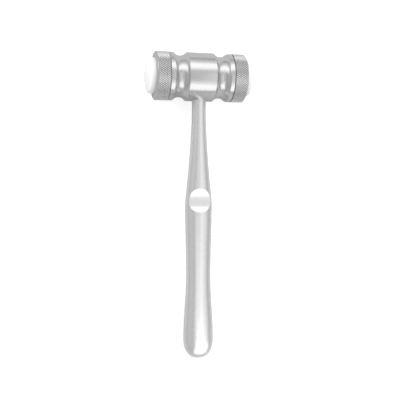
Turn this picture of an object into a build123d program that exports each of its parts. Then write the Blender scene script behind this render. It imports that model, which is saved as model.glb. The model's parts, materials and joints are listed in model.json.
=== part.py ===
from build123d import *
import os
from math import asin, cos, degrees, pi, radians, sin

os.makedirs("parts", exist_ok=True)

# Surgical mallet with two nylon faces, lying on its side
# X runs along the head, Y along the handle with the head at +Y, Z is up
# The origin is on the surface that the mallet lies on, in the middle of its outline
# All sizes are in millimetres

# Knurled ring that screws over the spigot and holds the nylon face
# The ring is the widest part of the head, and the turned steps are measured down from it
ring_radius = 15.0
ring_seam = 0.25
ring_wall_length = 8.05
lip_thickness = 2.2
lip_opening = 11.3
lip_round_width = 1.0
lip_inner_chamfer = 0.35
thread_clearance = 0.15

# Turned steel head: distances along it are from its middle
barrel_step = 0.1
barrel_half = 8.35
barrel_edge_round = 0.3
cove_depth = 2.15
cove_length = 8.6
collar_step = 0.2
collar_length = 2.85
collar_shoulder_round = 1.3
collar_edge = 0.2
spigot_step = 2.4
spigot_length = 4.4
spigot_chamfer = 0.7

# Diamond knurl on the ring
knurl_count = 72
knurl_rows = 4
knurl_depth = 0.35
knurl_to_lip = 0.06

# Nylon face: a flange under the ring and a domed front
face_flange_thickness = 2.5
face_flange_clearance = 0.3
face_boss_clearance = 0.3
face_height = 5.1
face_crown_radius = 30.0
face_edge_round = 2.6

# Handle: distances along it are from the middle of the head
socket_floor = 3.0
socket_gap = 0.3
tenon_radius = 3.6
tenon_clearance = 0.05
seat_depth = 1.0
shoulder_radius = 4.5
shoulder_length = 1.15
shoulder_fillet = 0.25
neck_radius = 4.25
neck_end = 21.0
thumb_station = 78.0
thumb_width = 17.0
thumb_thickness = 10.6
waist_station = 123.0
waist_width = 15.3
waist_thickness = 10.2
butt_station = 162.5
butt_width = 18.8
butt_thickness = 11.8
butt_length = 12.5
neck_flare_power = 1.45
butt_fullness = 2.4
rest_gap = 0.01
neck_sections = 5
waist_sections = 4
grip_end_sections = 4
butt_section_shares = (0.3, 0.55, 0.75, 0.9, 0.98)

# Thumb dish, cut across the handle on its front and its back
dish_station = 76.3
dish_depth = 2.15
dish_radius = 13.8

# Worked out from the sizes above
barrel_radius = ring_radius - barrel_step
cove_radius = barrel_radius - cove_depth
collar_radius = ring_radius - collar_step
collar_start = barrel_half + cove_length
collar_end = collar_start + collar_length
spigot_radius = ring_radius - spigot_step
spigot_end = collar_end + spigot_length
ring_start = collar_end + ring_seam
ring_wall_end = ring_start + ring_wall_length
flange_end = spigot_end + face_flange_thickness
ring_front = flange_end + lip_thickness
ring_bore = spigot_radius + thread_clearance
valley_radius = ring_radius - knurl_depth
lip_radius = valley_radius - knurl_to_lip
face_flange_radius = ring_bore - face_flange_clearance
face_boss_radius = lip_opening - face_boss_clearance
face_top = ring_front + face_height
seat_station = barrel_radius - seat_depth
handle_end = butt_station + butt_length


def ease(share):
    """A smooth step from 0 to 1, level at both ends."""
    return share * share * (3 - 2 * share)


def grip_size(station, at_thumb, at_waist, at_butt):
    """Width or thickness of the handle at a distance from the head."""
    neck = 2 * neck_radius
    if station <= thumb_station:
        share = (station - neck_end) / (thumb_station - neck_end)
        return neck + (at_thumb - neck) * share**neck_flare_power
    if station <= waist_station:
        share = (station - thumb_station) / (waist_station - thumb_station)
        return at_thumb + (at_waist - at_thumb) * ease(share)
    if station <= butt_station:
        share = (station - waist_station) / (butt_station - waist_station)
        return at_waist + (at_butt - at_waist) * ease(share)
    share = (station - butt_station) / butt_length
    return at_butt * (1 - share**butt_fullness) ** (1 / butt_fullness)


def resting_tilt():
    """Slope of the handle when both rings and the butt touch the surface."""
    power = butt_fullness / (butt_fullness - 1)
    tilt = 0.0
    for _ in range(8):
        along = (butt_length * sin(tilt)) ** power
        across = (butt_thickness / 2 * cos(tilt)) ** power
        reach = (along + across) ** (1 / power)
        tilt = asin((ring_radius - rest_gap - reach) / butt_station)
    return tilt


tilt = resting_tilt()
head_y = (handle_end * cos(tilt) - ring_radius) / 2
head_centre = Vector(0, head_y, ring_radius)
down_handle = Vector(0, -cos(tilt), -sin(tilt))
handle_front = Vector(0, -sin(tilt), cos(tilt))
head_axis = Axis(head_centre, (1, 0, 0))
handle_axis = Axis(head_centre, down_handle)
head_plane = Plane(origin=head_centre, x_dir=(1, 0, 0), z_dir=(0, 0, 1))


def across_handle(station):
    """Plane square to the handle, with its own y towards the handle's front."""
    return Plane(origin=head_centre + down_handle * station, x_dir=(1, 0, 0), z_dir=down_handle)


# Head: one turned piece, bored from below for the handle
with BuildPart() as head:
    with BuildSketch(head_plane) as half_head:
        with BuildLine():
            cove = ThreePointArc(
                (barrel_half, barrel_radius),
                (barrel_half + cove_length / 2, cove_radius),
                (collar_start, collar_radius),
            )
            Polyline(
                cove @ 1,
                (collar_end - collar_edge, collar_radius),
                (collar_end, collar_radius - collar_edge),
                (collar_end, spigot_radius),
                (spigot_end - spigot_chamfer, spigot_radius),
                (spigot_end, spigot_radius - spigot_chamfer),
                (spigot_end, 0),
                (0, 0),
                (0, barrel_radius),
                cove @ 0,
            )
        make_face()
        barrel_edge = half_head.vertices().sort_by_distance((barrel_half, barrel_radius))[0]
        fillet(barrel_edge, barrel_edge_round)
        collar_shoulder = half_head.vertices().sort_by_distance((collar_start, collar_radius))[0]
        fillet(collar_shoulder, collar_shoulder_round)
        mirror(about=Plane.YZ)
    revolve(axis=head_axis)
    with BuildSketch(across_handle(socket_floor)):
        Circle(tenon_radius + tenon_clearance)
    extrude(amount=seat_station - socket_floor, mode=Mode.SUBTRACT)
    with BuildSketch(across_handle(seat_station)):
        Circle(shoulder_radius + tenon_clearance)
    extrude(amount=2 * seat_depth, mode=Mode.SUBTRACT)

head.part.label = "head"
export_step(head.part, "parts/head.step")


# Handle: tenon, shoulder and round neck, then an oval grip with a rounded butt
grip_stations = [neck_end]
for start, end, count in (
    (neck_end, thumb_station, neck_sections),
    (thumb_station, waist_station, waist_sections),
    (waist_station, butt_station, grip_end_sections),
):
    grip_stations += [start + (end - start) * step / count for step in range(1, count + 1)]
grip_stations += [butt_station + share * butt_length for share in butt_section_shares]
grip_sections = []
for station in grip_stations:
    with BuildSketch(across_handle(station)) as section:
        Ellipse(
            grip_size(station, thumb_width, waist_width, butt_width) / 2,
            grip_size(station, thumb_thickness, waist_thickness, butt_thickness) / 2,
        )
    grip_sections.append(section.sketch)
butt_tip = Vertex(head_centre + down_handle * handle_end)

with BuildPart() as handle:
    loft([*grip_sections, butt_tip])
    with BuildSketch(Plane(origin=head_centre, x_dir=down_handle, z_dir=(-1, 0, 0))):
        with BuildLine():
            neck_top = Polyline(
                (neck_end, 0),
                (socket_floor + socket_gap, 0),
                (socket_floor + socket_gap, tenon_radius),
                (seat_station, tenon_radius),
                (seat_station, shoulder_radius),
                (seat_station + shoulder_length, shoulder_radius),
            )
            flare = RadiusArc(
                neck_top @ 1,
                (seat_station + shoulder_length + shoulder_fillet, neck_radius),
                shoulder_radius - neck_radius,
            )
            Polyline(flare @ 1, (neck_end, neck_radius), (neck_end, 0))
        make_face()
    revolve(axis=handle_axis)
    for face_side in (1, -1):
        surface = grip_size(dish_station, thumb_thickness, waist_thickness, butt_thickness) / 2
        lift = surface - dish_depth + dish_radius
        cutter = head_centre + down_handle * dish_station + handle_front * (lift * face_side)
        with BuildSketch(Plane(origin=cutter, x_dir=down_handle, z_dir=(1, 0, 0))):
            Circle(dish_radius)
        extrude(amount=thumb_width, both=True, mode=Mode.SUBTRACT)

handle.part.label = "handle"
export_step(handle.part, "parts/handle.step")


def on_ring(x, radius, turn):
    """Point on the ring: distance along the head, radius and angle in knurl pitches."""
    angle = 2 * pi * turn / knurl_count
    return head_centre + Vector(x, radius * sin(angle), radius * cos(angle))


def knurled_roll():
    """Solid roll whose surface is a diamond knurl, one low pyramid for each diamond."""
    half_row = (ring_wall_end - ring_start) / (2 * knurl_rows)
    faces = []
    for row in range(2 * knurl_rows + 1):
        x = ring_start + row * half_row
        for place in range(knurl_count):
            middle = place + row % 2 / 2
            peak = on_ring(x, ring_radius, middle)
            left = on_ring(x, valley_radius, middle - 0.5)
            right = on_ring(x, valley_radius, middle + 0.5)
            if row > 0:
                tip = on_ring(x - half_row, valley_radius, middle)
                faces.append(Face(Wire.make_polygon([peak, left, tip])))
                faces.append(Face(Wire.make_polygon([peak, tip, right])))
            if row < 2 * knurl_rows:
                tip = on_ring(x + half_row, valley_radius, middle)
                faces.append(Face(Wire.make_polygon([peak, tip, left])))
                faces.append(Face(Wire.make_polygon([peak, right, tip])))
    for x in (ring_start, ring_wall_end):
        corners = []
        for place in range(knurl_count):
            corners.append(on_ring(x, ring_radius, place))
            corners.append(on_ring(x, valley_radius, place + 0.5))
        faces.append(Face(Wire.make_polygon(corners)))
    return Solid(Shell(faces))


# Ring: the knurled roll, a smooth rounded lip in front, and the bore behind it
with BuildPart() as ring:
    add(knurled_roll())
    with BuildSketch(head_plane):
        with BuildLine():
            lip_corner = EllipticalCenterArc(
                (ring_wall_end, lip_radius - lip_round_width),
                ring_front - ring_wall_end,
                lip_round_width,
                start_angle=0,
                arc_size=90,
            )
            Polyline(
                lip_corner @ 1,
                (ring_start + ring_seam, lip_radius),
                (ring_start + ring_seam, 0),
                (ring_front, 0),
                lip_corner @ 0,
            )
        make_face()
    revolve(axis=head_axis)
    with BuildSketch(head_plane):
        with BuildLine():
            Polyline(
                (ring_start - ring_seam, 0),
                (ring_start - ring_seam, ring_bore),
                (flange_end, ring_bore),
                (flange_end, lip_opening),
                (ring_front - lip_inner_chamfer, lip_opening),
                (ring_front, lip_opening + lip_inner_chamfer),
                (ring_front + ring_seam, lip_opening + lip_inner_chamfer),
                (ring_front + ring_seam, 0),
                close=True,
            )
        make_face()
    revolve(axis=head_axis, mode=Mode.SUBTRACT)


# Nylon face: a flange that the ring clamps, and a domed striking front
with BuildPart() as nylon_face:
    with BuildSketch(head_plane):
        crown_drop = face_crown_radius - (face_crown_radius**2 - face_boss_radius**2) ** 0.5
        with BuildLine():
            crown = RadiusArc((face_top, 0), (face_top - crown_drop, face_boss_radius), -face_crown_radius)
            Polyline(
                crown @ 1,
                (flange_end, face_boss_radius),
                (flange_end, face_flange_radius),
                (spigot_end, face_flange_radius),
                (spigot_end, 0),
                crown @ 0,
            )
        make_face()
    revolve(axis=head_axis)
    crown_face = nylon_face.faces().sort_by(Axis.X)[-1]
    crown_rim = crown_face.edges().filter_by(GeomType.CIRCLE).sort_by(SortBy.RADIUS)[0]
    fillet(crown_rim, face_edge_round)


# Both ends of the head carry the same ring and face
for side_name, is_left in (("left", True), ("right", False)):
    for piece_name, source in (("ring", ring), ("face", nylon_face)):
        with BuildPart() as end_piece:
            if is_left:
                add(mirror(source.part, about=Plane.YZ))
            else:
                add(source.part)
        end_piece.part.label = f"{side_name}_{piece_name}"
        export_step(end_piece.part, f"parts/{side_name}_{piece_name}.step")

print("handle slopes", round(degrees(tilt), 3), "degrees")
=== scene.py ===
# %% [markdown]
# A surgical mallet, about 19 cm long. A turned steel head carries a white nylon face at each end,
# and a knurled ring screws over each end of the head to hold its face. The handle is one forged
# piece: a round neck, an oval grip with a dish for the thumb, and a rounded butt.
# The mallet lies on a pale surface and the camera looks down on it.
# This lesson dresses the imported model: each piece is remade as a fine mesh in the same place,
# so that long soft reflections run over it without showing facets.

import json
from math import asin, atan2, cos, pi, radians, sin, sqrt

import bmesh
import bpy
from mathutils import Matrix, Vector


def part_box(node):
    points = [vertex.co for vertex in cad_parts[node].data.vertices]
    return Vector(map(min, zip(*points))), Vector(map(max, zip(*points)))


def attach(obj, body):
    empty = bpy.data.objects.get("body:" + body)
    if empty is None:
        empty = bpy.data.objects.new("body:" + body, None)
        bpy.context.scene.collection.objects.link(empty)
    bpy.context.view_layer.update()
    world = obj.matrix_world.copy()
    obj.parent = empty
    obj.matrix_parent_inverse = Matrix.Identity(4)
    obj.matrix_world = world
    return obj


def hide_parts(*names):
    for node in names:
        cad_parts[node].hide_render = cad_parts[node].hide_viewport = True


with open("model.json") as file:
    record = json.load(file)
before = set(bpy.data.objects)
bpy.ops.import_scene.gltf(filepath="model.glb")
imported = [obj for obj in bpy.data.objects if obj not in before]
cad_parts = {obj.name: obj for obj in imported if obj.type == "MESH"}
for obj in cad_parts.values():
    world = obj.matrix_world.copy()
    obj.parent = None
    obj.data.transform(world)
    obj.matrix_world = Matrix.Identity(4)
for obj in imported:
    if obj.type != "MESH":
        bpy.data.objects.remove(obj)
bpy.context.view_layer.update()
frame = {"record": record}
mm = 0.001
TINY = 0.001 * mm

# %% [markdown]
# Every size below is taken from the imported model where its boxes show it. The two rings give the
# middle of the head and its radius. The slope of the handle is stored with the neck, which is
# where a tray clip holds the mallet, so it is read from there and the handle is built along it.

# %% Places that the frame gives
ring_low, ring_high = (Vector(corner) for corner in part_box("right_ring"))
head_low, head_high = (Vector(corner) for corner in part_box("head"))
face_low, face_high = (Vector(corner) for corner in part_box("right_face"))
ring_radius = (ring_high.z - ring_low.z) / 2
head_centre = Vector((0, (ring_low.y + ring_high.y) / 2, (ring_low.z + ring_high.z) / 2))
barrel_radius = (head_high.z - head_low.z) / 2
spigot_end = head_high.x
ring_start = ring_low.x
ring_front = ring_high.x
face_top = face_high.x
face_flange_radius = (face_high.z - face_low.z) / 2
neck_axis = Vector(frame["record"]["mounts"][0]["axis"])
handle_tilt = atan2(neck_axis.z, neck_axis.y)
print("head centre", head_centre, "handle tilt", round(handle_tilt, 4))

# %% [markdown]
# A new piece is shaped in a bmesh and then becomes an object at the origin, unturned and unscaled,
# with its place in its mesh. Smooth shading hides the facets, and edges that turn by more than 24
# degrees are marked sharp, so that real corners stay crisp.

# %% Helpers that turn a bmesh into a piece
SHARP_ANGLE = radians(24)


def mark_sharp(bm):
    """Shade faces smooth, apart from edges where the surface turns a real corner."""
    for face in bm.faces:
        face.smooth = True
    for edge in bm.edges:
        edge.smooth = len(edge.link_faces) != 2 or edge.calc_face_angle(0) < SHARP_ANGLE


def finish_piece(bm, name):
    """Merge doubles, point faces outwards and make the object."""
    bmesh.ops.remove_doubles(bm, verts=bm.verts, dist=TINY)
    bmesh.ops.recalc_face_normals(bm, faces=bm.faces)
    mark_sharp(bm)
    mesh = bpy.data.meshes.new(name)
    bm.to_mesh(mesh)
    bm.free()
    piece = bpy.data.objects.new(name, mesh)
    bpy.context.scene.collection.objects.link(piece)
    print(name, len(mesh.polygons), "faces")
    return piece


# %% [markdown]
# The head, the rings and the faces were all turned in a lathe, so each is drawn as half a section
# and spun round the head's axis. A corner can be rounded by a vertex bevel before the spin, just
# as a form tool would round it.

# %% Draw a section and spin it
def draw_section(bm, points, rounds):
    """A chain of edges through (distance along the head, radius), with some corners rounded."""
    verts = [bm.verts.new(head_centre + Vector((x, 0, radius))) for x, radius in points]
    for first, second in zip(verts, verts[1:]):
        bm.edges.new((first, second))
    for index, (cut, segments) in rounds.items():
        bmesh.ops.bevel(
            bm, geom=[verts[index]], offset=cut, offset_type="OFFSET",
            affect="VERTICES", segments=segments, profile=0.5, material=-1,
        )


def spin_section(bm, steps):
    """Turn the drawn section once round the head's axis."""
    bmesh.ops.spin(
        bm, geom=bm.verts[:] + bm.edges[:], cent=head_centre, axis=(1, 0, 0),
        dvec=(0, 0, 0), angle=2 * pi, steps=steps, use_merge=True, use_duplicate=False,
    )


# %% [markdown]
# The rings screw on the head, so the spigots and the rings' bores carry a fine screw thread, which
# shows as soon as a ring is unscrewed. A thread is a groove that climbs by one pitch in each turn.
# The spun surface has eight rows of points for each pitch, and each point is moved in or out by
# the depth of the groove at its own angle. Both ends have an ordinary right-hand thread.

# %% Screw thread
THREAD_ROWS = 8
thread_pitch = 1.5 * mm
thread_depth = 0.4 * mm
thread_run_out = 0.5 * mm
thread_end_gap = 0.1 * mm


def thread_points(start, end, radius):
    """Section points along a straight surface that will be threaded."""
    rows = round((end - start) / thread_pitch * THREAD_ROWS)
    return [(start + (end - start) * row / rows, radius) for row in range(rows + 1)]


def press_thread(bm, start, end, radius, depth):
    """Press a helical groove into a cylinder; a negative depth presses outwards, into a bore."""
    for vert in bm.verts:
        place = vert.co - head_centre
        from_axis = sqrt(place.y**2 + place.z**2)
        if abs(from_axis - radius) > TINY or not start < abs(place.x) < end:
            continue
        turn = atan2(place.z, place.y) / (2 * pi)
        groove = abs((place.x / thread_pitch - turn) % 1 - 0.5) * 2
        fade = min(abs(place.x) - start, end - abs(place.x), thread_run_out) / thread_run_out
        pressed = (radius - depth * groove * fade) / from_axis
        vert.co.y = head_centre.y + place.y * pressed
        vert.co.z = head_centre.z + place.z * pressed


# %% [markdown]
# The head is one steel bar: a barrel in the middle, a cove on each side of it, a collar that the
# ring screws up to, and a spigot inside the ring. Each cove was cut with a round tool, so it is an
# arc. The photograph shows a crisp edge from barrel to cove and a softer one from cove to collar.
# Each arc stops a little short of its edge, which leaves the bevel room to round that edge.

# %% Head
TURN_STEPS = 256
COVE_STEPS = 14
barrel_half = 8.35 * mm
barrel_round = 0.15 * mm
barrel_arc_gap = 0.3 * mm
cove_middle = 12.65 * mm
cove_radius = 12.75 * mm
collar_start = 16.95 * mm
collar_end = 19.8 * mm
collar_radius = 14.8 * mm
collar_round = 0.6 * mm
collar_arc_gap = 1.1 * collar_round
collar_edge = 0.2 * mm
spigot_radius = 12.65 * mm
spigot_chamfer = 0.7 * mm


def half_cove(edge_radius, arc_gap):
    """Half the cove's arc, from its bottom outwards: (distance from its middle, radius)."""
    half_width = cove_middle - barrel_half
    depth = edge_radius - cove_radius
    tool_radius = (half_width**2 + depth**2) / (2 * depth)
    last = asin(half_width / tool_radius) - arc_gap / tool_radius
    points = []
    for step in range(COVE_STEPS):
        angle = last * step / (COVE_STEPS - 1)
        rise = tool_radius * (1 - cos(angle))
        points.append((tool_radius * sin(angle), cove_radius + rise))
    return points


def make_head():
    """Half the head's section, mirrored and spun."""
    inner = half_cove(barrel_radius, barrel_arc_gap)
    outer = half_cove(collar_radius, collar_arc_gap)
    cove = [(cove_middle - across, radius) for across, radius in reversed(inner)]
    cove += [(cove_middle + across, radius) for across, radius in outer[1:]]
    half = [(0, barrel_radius), (barrel_half, barrel_radius), *cove]
    half += [
        (collar_start, collar_radius),
        (collar_end - collar_edge, collar_radius),
        (collar_end, collar_radius - collar_edge),
        (collar_end, spigot_radius),
        *thread_points(collar_end + thread_end_gap, spigot_end - spigot_chamfer, spigot_radius),
        (spigot_end, spigot_radius - spigot_chamfer),
        (spigot_end, 0),
    ]
    bm = bmesh.new()
    draw_section(bm, half, {1: (barrel_round, 4), 2 + len(cove): (collar_round, 10)})
    bmesh.ops.mirror(
        bm, geom=bm.verts[:] + bm.edges[:], matrix=Matrix.Identity(4),
        merge_dist=TINY, axis="X",
    )
    spin_section(bm, TURN_STEPS)
    press_thread(bm, collar_end, spigot_end, spigot_radius, thread_depth)
    return finish_piece(bm, "turned_head")


turned_head = make_head()
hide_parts("head")
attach(turned_head, "root")

# %% [markdown]
# The ring is a nut with a diamond knurl rolled into its rim, for grip. The knurl is two sets of
# grooves that cross at an angle, and between them stand low pyramids, worn a little flat on top.
# The section is spun with enough steps for eight points across each diamond, and then each point
# of the rim is pressed in by the depth of the nearest groove.

# %% Knurled rings
KNURL_COUNT = 72
KNURL_ROWS = 4
POINTS_PER_DIAMOND = 8
LIP_STEPS = 8
knurl_depth = 0.35 * mm
knurl_flat = 0.82
knurl_to_lip = 0.06 * mm
ring_wall_end = 27.65 * mm
ring_bore = 12.75 * mm
lip_opening = 11.3 * mm
lip_setback = 0.4 * mm
lip_thickness = 2.2 * mm
lip_round_width = 1.5 * mm
lip_chamfer = 0.35 * mm
lip_front = ring_front - lip_setback
flange_end = ring_front - lip_thickness
lip_radius = ring_radius - knurl_depth - knurl_to_lip


def groove_depth(turn, row):
    """0 on top of a diamond and 1 in a groove, at a place counted in knurl pitches."""
    one_way = abs((turn + row) % 1 - 0.5) * 2
    other_way = abs((turn - row) % 1 - 0.5) * 2
    return 1 - min(one_way, other_way, knurl_flat) / knurl_flat


def press_knurl(bm):
    """Press the grooves into the rim of a ring on the +X end."""
    length = ring_wall_end - ring_start
    for vert in bm.verts:
        place = vert.co - head_centre
        radius = sqrt(place.y**2 + place.z**2)
        if place.x > ring_wall_end + TINY or abs(radius - ring_radius) > TINY:
            continue
        turn = atan2(place.y, place.z) / (2 * pi) * KNURL_COUNT
        row = (place.x - ring_start) / length * KNURL_ROWS
        pressed = (radius - knurl_depth * groove_depth(turn, row)) / radius
        vert.co.y = head_centre.y + place.y * pressed
        vert.co.z = head_centre.z + place.z * pressed


def make_ring(side):
    """The ring at one end; side is 1 at the +X end and -1 at the other."""
    rows = KNURL_ROWS * POINTS_PER_DIAMOND
    length = ring_wall_end - ring_start
    rim = [(ring_start + length * step / rows, ring_radius) for step in range(rows + 1)]
    depth = lip_front - ring_wall_end
    corner = []
    for step in range(LIP_STEPS + 1):
        angle = radians(90 - 90 * step / LIP_STEPS)
        corner.append((
            ring_wall_end + depth * cos(angle),
            lip_radius - lip_round_width + lip_round_width * sin(angle),
        ))
    bore = thread_points(ring_start + thread_end_gap, flange_end - thread_end_gap, ring_bore)
    inside = [
        (lip_front, lip_opening + lip_chamfer),
        (lip_front - lip_chamfer, lip_opening),
        (flange_end, lip_opening),
        (flange_end, ring_bore),
        *reversed(bore),
        (ring_start, ring_bore),
    ]
    bm = bmesh.new()
    draw_section(bm, rim + corner + inside + [rim[0]], {})
    bmesh.ops.remove_doubles(bm, verts=bm.verts, dist=TINY)
    spin_section(bm, KNURL_COUNT * POINTS_PER_DIAMOND)
    bmesh.ops.remove_doubles(bm, verts=bm.verts, dist=TINY)
    press_knurl(bm)
    bmesh.ops.scale(bm, verts=bm.verts, vec=(side, 1, 1))
    press_thread(bm, ring_start, flange_end, ring_bore, -thread_depth)
    return finish_piece(bm, "knurled_ring_right" if side > 0 else "knurled_ring_left")


rings = {}
for side, side_name in ((-1, "left"), (1, "right")):
    rings[side_name] = make_ring(side)
    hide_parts(f"{side_name}_ring")
    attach(rings[side_name], f"{side_name}_ring")

# %% [markdown]
# Each nylon face has a flange, which the ring clamps against the head, and a boss with a gently
# crowned front that stands out through the ring. Its front corner is well rounded.

# %% Nylon faces
CROWN_STEPS = 8
face_boss_radius = 11.0 * mm
crown_radius = 30.0 * mm
face_corner = 1.55 * mm


def make_face(side):
    """The nylon face at one end."""
    crown_angle = asin(face_boss_radius / crown_radius)
    crown = []
    for step in range(CROWN_STEPS + 1):
        angle = crown_angle * step / CROWN_STEPS
        crown.append((face_top - crown_radius * (1 - cos(angle)), crown_radius * sin(angle)))
    flange = [
        (flange_end, face_boss_radius),
        (flange_end, face_flange_radius),
        (spigot_end, face_flange_radius),
        (spigot_end, 0),
    ]
    bm = bmesh.new()
    draw_section(bm, crown + flange, {CROWN_STEPS: (face_corner, 12)})
    spin_section(bm, TURN_STEPS // 2)
    bmesh.ops.scale(bm, verts=bm.verts, vec=(side, 1, 1))
    return finish_piece(bm, "nylon_face_right" if side > 0 else "nylon_face_left")


faces = {}
for side, side_name in ((-1, "left"), (1, "right")):
    faces[side_name] = make_face(side)
    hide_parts(f"{side_name}_face")
    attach(faces[side_name], f"{side_name}_face")

# %% [markdown]
# The handle is a forging. It starts as a ring of points on its tenon, inside the head, and is
# extruded ring by ring to the butt: round at the neck, then an oval whose width and thickness ease
# from one named place to the next. The thumb dish was milled straight across it, so a roller of
# the cutter's size is taken away from the front and from the back. Another, upright one cuts the
# shallow seat in the head that the handle's shoulder stands in.

# %% Handle sizes
HANDLE_SEGMENTS = 128
CUTTER_SEGMENTS = 360
BEVEL_STEPS = 6
GRIP_STEPS = 96
BUTT_STEPS = 20
tenon_start = 3.3 * mm
tenon_radius = 3.6 * mm
seat_station = 13.9 * mm
seat_depth = 1.0 * mm
seat_clearance = 0.05 * mm
shoulder_radius = 4.5 * mm
shoulder_end = 15.05 * mm
neck_radius = 4.25 * mm
neck_end = 21.0 * mm
neck_flare_power = 1.45
thumb_station = 78.0 * mm
thumb_size = (17.0 * mm, 10.6 * mm)
waist_station = 123.0 * mm
waist_size = (15.3 * mm, 10.2 * mm)
butt_station = 162.5 * mm
butt_size = (18.8 * mm, 11.8 * mm)
butt_length = 12.5 * mm
butt_fullness = 2.4
dish_station = 76.3 * mm
dish_depth = 2.15 * mm
dish_radius = 13.8 * mm


def ease(share):
    """A smooth step from 0 to 1, level at both ends."""
    return share * share * (3 - 2 * share)


def grip_size(station, which):
    """Width (which=0) or thickness (which=1) of the handle at a distance from the head."""
    neck = 2 * neck_radius
    if station <= thumb_station:
        share = (station - neck_end) / (thumb_station - neck_end)
        return neck + (thumb_size[which] - neck) * share**neck_flare_power
    if station <= waist_station:
        share = (station - thumb_station) / (waist_station - thumb_station)
        return thumb_size[which] + (waist_size[which] - thumb_size[which]) * ease(share)
    if station <= butt_station:
        share = (station - waist_station) / (butt_station - waist_station)
        return waist_size[which] + (butt_size[which] - waist_size[which]) * ease(share)
    share = min((station - butt_station) / butt_length, 1)
    return butt_size[which] * (1 - share**butt_fullness) ** (1 / butt_fullness)


# %% [markdown]
# The rings are close together where the form changes most: at the small bevel under the shoulder
# and round the butt, where they close up towards the tip. The last ring is drawn to a point.

# %% Handle rings of points
def handle_rings():
    """Each ring of the handle: distance from the head, half width and half thickness."""
    flare = shoulder_radius - neck_radius
    rings_round = [
        (tenon_start, tenon_radius),
        (seat_station, tenon_radius),
        (seat_station, shoulder_radius),
        (shoulder_end, shoulder_radius),
    ]
    for step in range(1, BEVEL_STEPS + 1):
        out = flare * sin(radians(90 * step / BEVEL_STEPS))
        rings_round.append((shoulder_end + out, shoulder_radius - out))
    rings_round.append((neck_end, neck_radius))
    result = [(station, radius, radius) for station, radius in rings_round]
    for step in range(1, GRIP_STEPS + 1):
        station = neck_end + (butt_station - neck_end) * step / GRIP_STEPS
        result.append((station, grip_size(station, 0) / 2, grip_size(station, 1) / 2))
    for step in range(1, BUTT_STEPS):
        station = butt_station + butt_length * sin(radians(90 * step / BUTT_STEPS))
        result.append((station, grip_size(station, 0) / 2, grip_size(station, 1) / 2))
    return result


def in_place(bm):
    """Lay a bmesh made along -Y from the middle of the head on the handle's sloping axis."""
    slope = Matrix.Translation(head_centre) @ Matrix.Rotation(handle_tilt, 4, "X")
    bmesh.ops.transform(bm, matrix=slope, verts=bm.verts)


def make_handle_blank():
    """The handle before the thumb dish is cut."""
    bm = bmesh.new()
    upright = Matrix.Rotation(radians(90), 4, "X")
    start = handle_rings()[0]
    made = bmesh.ops.create_circle(
        bm, cap_ends=True, segments=HANDLE_SEGMENTS, radius=start[1],
        matrix=Matrix.Translation((0, -start[0], 0)) @ upright,
    )
    loop = made["verts"]
    sizes = start
    edges = [edge for edge in bm.edges if all(vert in loop for vert in edge.verts)]
    for station, half_width, half_thickness in handle_rings()[1:]:
        extruded = bmesh.ops.extrude_edge_only(bm, edges=edges)["geom"]
        loop = [item for item in extruded if isinstance(item, bmesh.types.BMVert)]
        edges = [item for item in extruded if isinstance(item, bmesh.types.BMEdge)]
        edges = [edge for edge in edges if all(vert in loop for vert in edge.verts)]
        grow = (half_width / sizes[1], 1, half_thickness / sizes[2])
        bmesh.ops.scale(bm, verts=loop, vec=grow)
        bmesh.ops.translate(bm, verts=loop, vec=(0, sizes[0] - station, 0))
        sizes = (station, half_width, half_thickness)
    extruded = bmesh.ops.extrude_edge_only(bm, edges=edges)["geom"]
    tip = [item for item in extruded if isinstance(item, bmesh.types.BMVert)]
    bmesh.ops.pointmerge(bm, verts=tip, merge_co=(0, -butt_station - butt_length, 0))
    in_place(bm)
    return finish_piece(bm, "forged_handle")


# %% [markdown]
# A cut is a Boolean difference that is applied at once, so that only the finished mesh is left.

# %% Cut the thumb dish and the seat in the head
def make_roller(radius, length, place):
    """A round bar along its own Z, moved to its place beside the handle's axis."""
    bm = bmesh.new()
    bmesh.ops.create_cone(
        bm, cap_ends=True, segments=CUTTER_SEGMENTS, radius1=radius, radius2=radius,
        depth=length, matrix=place,
    )
    in_place(bm)
    return finish_piece(bm, "cutter")


def take_away(piece, cutter):
    """Cut one object out of another for good, and throw the cutter away."""
    cut = piece.modifiers.new("cut", "BOOLEAN")
    cut.operation = "DIFFERENCE"
    cut.solver = "EXACT"
    cut.object = cutter
    shaped = piece.evaluated_get(bpy.context.evaluated_depsgraph_get())
    mesh = bpy.data.meshes.new_from_object(shaped)
    piece.modifiers.clear()
    piece.data = mesh
    bpy.data.objects.remove(cutter)
    bm = bmesh.new()
    bm.from_mesh(mesh)
    mark_sharp(bm)
    bm.to_mesh(mesh)
    bm.free()
    print(piece.name, "after cutting", len(mesh.polygons), "faces")


forged_handle = make_handle_blank()
crossways = Matrix.Rotation(radians(90), 4, "Y")
lengthways = Matrix.Rotation(radians(90), 4, "X")
lift = grip_size(dish_station, 1) / 2 - dish_depth + dish_radius
for face_side in (1, -1):
    across = Matrix.Translation((0, -dish_station, lift * face_side)) @ crossways
    take_away(forged_handle, make_roller(dish_radius, 2 * thumb_size[0], across))

along = Matrix.Translation((0, -seat_station - seat_depth, 0)) @ lengthways
take_away(turned_head, make_roller(shoulder_radius + seat_clearance, 2 * seat_depth, along))
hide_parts("handle")
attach(forged_handle, "root")

# %% [markdown]
# Satin stainless steel is a grey metal with a fine grain left by the last grinding belt. The grain
# is a noise that is stretched along the direction of the belt, so it shows as short hairlines. It
# changes the roughness a little and presses very shallow scratches into the surface. On the turned
# head the hairlines run round the axis, and on the handle they run lengthwise.

# %% Brushed steel
HAIRLINE_DETAIL = 6.0
HAIRLINE_ROUGHNESS = 0.65
roughness_spread = 0.05
darkest_tone = 0.93
lightest_tone = 1.05
scratch_depth = 0.004 * mm
scratch_strength = 0.25


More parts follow.
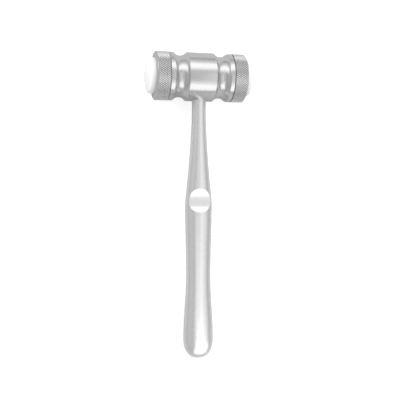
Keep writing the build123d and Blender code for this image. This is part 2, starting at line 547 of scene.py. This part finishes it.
def brushed_steel(name, grey, roughness, grain):
    """Grey metal with a stretched grain; grain is the noise's scale along X, Y and Z."""
    material = bpy.data.materials.new(name)
    material.use_nodes = True
    nodes = material.node_tree.nodes
    links = material.node_tree.links
    shader = nodes["Principled BSDF"]
    shader.inputs["Metallic"].default_value = 1.0
    where = nodes.new("ShaderNodeTexCoord")
    stretch = nodes.new("ShaderNodeMapping")
    stretch.inputs["Scale"].default_value = grain
    links.new(where.outputs["Object"], stretch.inputs["Vector"])
    hairlines = nodes.new("ShaderNodeTexNoise")
    hairlines.inputs["Scale"].default_value = 1.0
    hairlines.inputs["Detail"].default_value = HAIRLINE_DETAIL
    hairlines.inputs["Roughness"].default_value = HAIRLINE_ROUGHNESS
    links.new(stretch.outputs["Vector"], hairlines.inputs["Vector"])
    shade = nodes.new("ShaderNodeMapRange")
    shade.inputs["From Min"].default_value = 0.25
    shade.inputs["From Max"].default_value = 0.75
    shade.inputs["To Min"].default_value = roughness - roughness_spread
    shade.inputs["To Max"].default_value = roughness + roughness_spread
    links.new(hairlines.outputs["Fac"], shade.inputs["Value"])
    links.new(shade.outputs["Result"], shader.inputs["Roughness"])
    tone = nodes.new("ShaderNodeMix")
    tone.data_type = "RGBA"
    tone.inputs["A"].default_value = (*[grey * darkest_tone] * 3, 1)
    tone.inputs["B"].default_value = (*[grey * lightest_tone] * 3, 1)
    links.new(hairlines.outputs["Fac"], tone.inputs["Factor"])
    links.new(tone.outputs["Result"], shader.inputs["Base Color"])
    scratches = nodes.new("ShaderNodeBump")
    scratches.inputs["Strength"].default_value = scratch_strength
    scratches.inputs["Distance"].default_value = scratch_depth
    links.new(hairlines.outputs["Fac"], scratches.inputs["Height"])
    links.new(scratches.outputs["Normal"], shader.inputs["Normal"])
    return material


turned_steel = brushed_steel("turned steel", 0.55, 0.25, (6000, 260, 260))
handle_steel = brushed_steel("handle steel", 0.76, 0.29, (5200, 150, 5200))
ring_steel = brushed_steel("ring steel", 0.52, 0.3, (2600, 260, 260))
knurl_steel = brushed_steel("knurl steel", 0.8, 0.3, (2600, 2600, 2600))
print("steels", [item.name for item in (turned_steel, handle_steel, ring_steel, knurl_steel)])

# %% [markdown]
# The grooves of the knurl get painted shade: their colour is darkened towards the bottom of each
# groove, where shadow falls, which is what makes the pattern show from a distance. The distance of
# each point from the head's axis tells how deep in a groove it lies.

# %% Painted shade in the grooves
# The bottom of a groove is painted down to this share of the colour, as painted shade; the top
# share of the depth stays unshaded.
groove_shade_tone = 0.15
unshaded_share = 0.35


def paint_groove_shade(material):
    """Painted shade: multiply the colour by a darker tone towards the bottom of the knurl's
    grooves.
    """
    nodes = material.node_tree.nodes
    links = material.node_tree.links
    shader = nodes["Principled BSDF"]
    unshaded_colour = shader.inputs["Base Color"].links[0].from_socket
    where = nodes.new("ShaderNodeTexCoord")
    from_centre = nodes.new("ShaderNodeVectorMath")
    from_centre.operation = "SUBTRACT"
    from_centre.inputs[1].default_value = head_centre
    links.new(where.outputs["Object"], from_centre.inputs[0])
    off_axis = nodes.new("ShaderNodeVectorMath")
    off_axis.operation = "MULTIPLY"
    off_axis.inputs[1].default_value = (0, 1, 1)
    links.new(from_centre.outputs["Vector"], off_axis.inputs[0])
    distance = nodes.new("ShaderNodeVectorMath")
    distance.operation = "LENGTH"
    links.new(off_axis.outputs["Vector"], distance.inputs[0])
    depth = nodes.new("ShaderNodeMapRange")
    depth.inputs["From Min"].default_value = ring_radius - knurl_depth
    depth.inputs["From Max"].default_value = ring_radius - unshaded_share * knurl_depth
    depth.inputs["To Min"].default_value = groove_shade_tone
    depth.inputs["To Max"].default_value = 1.0
    links.new(distance.outputs["Value"], depth.inputs["Value"])
    shaded = nodes.new("ShaderNodeVectorMath")
    shaded.operation = "SCALE"
    links.new(unshaded_colour, shaded.inputs[0])
    links.new(depth.outputs["Result"], shaded.inputs["Scale"])
    links.new(shaded.outputs["Vector"], shader.inputs["Base Color"])


# The knurl steel gets painted shade in its grooves.
paint_groove_shade(knurl_steel)
turned_head.data.materials.append(turned_steel)
forged_handle.data.materials.append(handle_steel)
for ring in rings.values():
    ring.data.materials.append(ring_steel)
    ring.data.materials.append(knurl_steel)
    for face in ring.data.polygons:
        rim = head_centre + Vector((face.center.x, 0, 0))
        knurled = (face.center - rim).length > lip_radius and abs(face.center.x) < ring_wall_end
        face.material_index = 1 if knurled else 0
print("knurled faces", sum(face.material_index for face in rings["left"].data.polygons))

# %% [markdown]
# Nylon is a milky white plastic. Light goes a little way in before it comes out, so it gets some
# subsurface scattering, and its front has a low, broad gloss and very faint handling marks.

# %% Nylon
nylon_roughness = 0.5
nylon_ior = 1.53
scattered_share = 0.12
scatter_reach = 1.2 * mm
nylon_tones = (0.83, 0.87)
mark_scale = 420
mark_detail = 4
mark_depth = 0.02 * mm
mark_strength = 0.1


def make_nylon():
    """White, slightly translucent plastic with a faint unevenness."""
    material = bpy.data.materials.new("white nylon")
    material.use_nodes = True
    nodes = material.node_tree.nodes
    links = material.node_tree.links
    shader = nodes["Principled BSDF"]
    shader.inputs["Roughness"].default_value = nylon_roughness
    shader.inputs["IOR"].default_value = nylon_ior
    shader.inputs["Subsurface Weight"].default_value = scattered_share
    shader.inputs["Subsurface Radius"].default_value = (1.0, 1.0, 1.0)
    shader.inputs["Subsurface Scale"].default_value = scatter_reach
    where = nodes.new("ShaderNodeTexCoord")
    cloud = nodes.new("ShaderNodeTexNoise")
    cloud.inputs["Scale"].default_value = mark_scale
    cloud.inputs["Detail"].default_value = mark_detail
    links.new(where.outputs["Object"], cloud.inputs["Vector"])
    tone = nodes.new("ShaderNodeMix")
    tone.data_type = "RGBA"
    for socket, white in zip(("A", "B"), nylon_tones):
        tone.inputs[socket].default_value = (white, white, white, 1)
    links.new(cloud.outputs["Fac"], tone.inputs["Factor"])
    links.new(tone.outputs["Result"], shader.inputs["Base Color"])
    marks = nodes.new("ShaderNodeBump")
    marks.inputs["Strength"].default_value = mark_strength
    marks.inputs["Distance"].default_value = mark_depth
    links.new(cloud.outputs["Fac"], marks.inputs["Height"])
    links.new(marks.outputs["Normal"], shader.inputs["Normal"])
    return material


nylon = make_nylon()
for face in faces.values():
    face.data.materials.append(nylon)
print("nylon on", [face.name for face in faces.values()])

# %% [markdown]
# The camera stands above the mallet, a little to the left of it, at the distance that gives the
# photograph's perspective. Its place was worked out from the outlines of the rings, the collars and
# the handle. The angles are how far the view is turned from square to the handle's front.

# %% Camera
view_yaw = radians(12.85)
view_pitch = radians(1.32)
view_roll = radians(-0.16)
view_distance = 440 * mm
view_aim = Vector((-0.70 * mm, 76.29 * mm))
picture_focal = 708.4
picture_width = 400
film_width = 36

turn = Matrix.Rotation(view_roll, 4, "Z") @ Matrix.Rotation(view_pitch, 4, "X")
turn = turn @ Matrix.Rotation(view_yaw, 4, "Y")
from_handle = Matrix.Translation(head_centre) @ Matrix.Rotation(handle_tilt, 4, "X")
stand = Matrix.Translation((-view_aim.x, -view_aim.y, view_distance))
camera_data = bpy.data.cameras.new("camera")
camera_data.sensor_width = film_width
camera_data.lens = camera_data.sensor_width * picture_focal / picture_width
camera = bpy.data.objects.new("camera", camera_data)
camera.matrix_world = from_handle @ turn.inverted() @ stand
bpy.context.scene.collection.objects.link(camera)
bpy.context.scene.camera = camera
print("camera at", camera.matrix_world.translation)

# %% [markdown]
# The surface is matt. It gives off some light of its own to the camera, and much less of it to the
# reflections. That turns it white in the picture and leaves a faint soft shadow near the mallet.

# %% Surface
surface_half = 4.0
surface_grey = 0.5
surface_roughness = 0.9
glow_to_camera = 0.66
glow_to_reflections = 0.12


def make_surface():
    """A wide pale floor under the mallet."""
    bm = bmesh.new()
    bmesh.ops.create_grid(bm, x_segments=1, y_segments=1, size=surface_half)
    floor = finish_piece(bm, "surface")
    material = bpy.data.materials.new("pale surface")
    material.use_nodes = True
    nodes = material.node_tree.nodes
    links = material.node_tree.links
    matt = nodes["Principled BSDF"]
    matt.inputs["Base Color"].default_value = (surface_grey, surface_grey, surface_grey, 1)
    matt.inputs["Roughness"].default_value = surface_roughness
    path = nodes.new("ShaderNodeLightPath")
    glow = nodes.new("ShaderNodeEmission")
    glow.inputs["Color"].default_value = (1, 1, 1, 1)
    reflected = nodes.new("ShaderNodeMath")
    reflected.operation = "MULTIPLY"
    reflected.inputs[1].default_value = glow_to_reflections
    links.new(path.outputs["Is Glossy Ray"], reflected.inputs[0])
    strength = nodes.new("ShaderNodeMath")
    strength.operation = "MULTIPLY_ADD"
    strength.inputs[1].default_value = glow_to_camera
    links.new(path.outputs["Is Camera Ray"], strength.inputs[0])
    links.new(reflected.outputs["Value"], strength.inputs[2])
    links.new(strength.outputs["Value"], glow.inputs["Strength"])
    both = nodes.new("ShaderNodeAddShader")
    links.new(matt.outputs["BSDF"], both.inputs[0])
    links.new(glow.outputs["Emission"], both.inputs[1])
    links.new(both.outputs["Shader"], nodes["Material Output"].inputs["Surface"])
    floor.data.materials.append(material)
    return floor


make_surface()

# %% [markdown]
# Steel shows its surroundings more than its own colour, so the light is a studio of large soft
# panels. A long panel beyond the head and another beyond the butt draw the two white stripes on the
# barrel and the white ends of the thumb dish. Dimmer rims beside them soften the stripes' edges.
# The panel beyond the butt hangs low, so it also whitens the end of the handle. Paler panels
# overhead and on the right light the right half of the handle.

# %% Lights
def add_panel(name, first_edge, second_edge, along, width, radiance):
    """A soft panel between two edges that run along one direction, each given by its middle."""
    first = Vector(first_edge)
    second = Vector(second_edge)
    middle = (first + second) / 2
    sideways = Vector(along).normalized()
    upwards = (second - first).normalized()
    back = sideways.cross(upwards)
    if back.dot(middle - head_centre) < 0:
        upwards = -upwards
        back = -back
    panel_data = bpy.data.lights.new(name, "AREA")
    panel_data.shape = "RECTANGLE"
    panel_data.size = width
    panel_data.size_y = (second - first).length
    panel_data.energy = radiance * pi * panel_data.size * panel_data.size_y
    panel = bpy.data.objects.new(name, panel_data)
    panel.location = middle
    panel.rotation_euler = Matrix((sideways, upwards, back)).transposed().to_euler()
    panel.visible_camera = False
    bpy.context.scene.collection.objects.link(panel)
    return panel


across_head = (1, 0, 0)
away_right = (0.997, 0.07, 0)
back_right = (0.94, -0.34, 0)
down_handle = (0, 1, 0)
for panel_place in (
    ("panel beyond head", (0.20, 0.44, 0.62), (0.20, 0.72, 0.40), away_right, 2.1, 1.3),
    ("upper rim beyond head", (0.20, 0.36, 0.66), (0.20, 0.44, 0.62), away_right, 2.1, 0.7),
    ("lower rim beyond head", (0.20, 0.72, 0.40), (0.20, 0.84, 0.20), away_right, 2.1, 0.4),
    ("panel beyond butt", (0.25, -0.26, 0.30), (0.25, -0.65, 0.20), back_right, 0.7, 1.3),
    ("upper rim beyond butt", (0.25, -0.17, 0.32), (0.25, -0.26, 0.30), back_right, 0.7, 0.3),
    ("panel overhead", (-0.20, -0.05, 0.70), (0.36, -0.05, 0.62), down_handle, 0.9, 0.25),
    ("panel right", (0.18, -0.14, 0.68), (0.60, -0.14, 0.42), down_handle, 0.7, 0.35),
    ("panel left", (-0.40, -0.05, 0.60), (-0.76, -0.05, 0.25), down_handle, 0.9, 0.1),
):
    add_panel(*panel_place)
print("panels", [item.name for item in bpy.data.lights])

# %% [markdown]
# Three more panels are hidden from the reflections. Two low ones light the nylon faces from the
# sides, and one lights the surface beyond the head, which the far side of the head reflects. The
# rest of the room is an even grey, and the camera sees it as white.

# %% Fill and room
room_grey = 0.58
for fill_place in (
    ("fill left", (-0.7, 0.08, 0.05), (-0.7, 0.08, 0.45), down_handle, 0.8, 2.1),
    ("fill right", (0.7, 0.08, 0.05), (0.7, 0.08, 0.45), down_handle, 0.8, 1.5),
    ("floor light", (0.2, 0.30, 0.35), (0.2, 0.75, 0.35), across_head, 1.6, 1.2),
):
    add_panel(*fill_place).visible_glossy = False

world = bpy.data.worlds.new("room")
bpy.context.scene.world = world
world.use_nodes = True
sky = world.node_tree.nodes["Background"]
sky.inputs["Color"].default_value = (1, 1, 1, 1)
path = world.node_tree.nodes.new("ShaderNodeLightPath")
level = world.node_tree.nodes.new("ShaderNodeMapRange")
level.inputs["To Min"].default_value = room_grey
level.inputs["To Max"].default_value = 1.0
world.node_tree.links.new(path.outputs["Is Camera Ray"], level.inputs["Value"])
world.node_tree.links.new(level.outputs["Result"], sky.inputs["Strength"])
bpy.context.scene.view_settings.view_transform = "Standard"
print("room grey", room_grey, "with", len(bpy.data.lights), "panels")
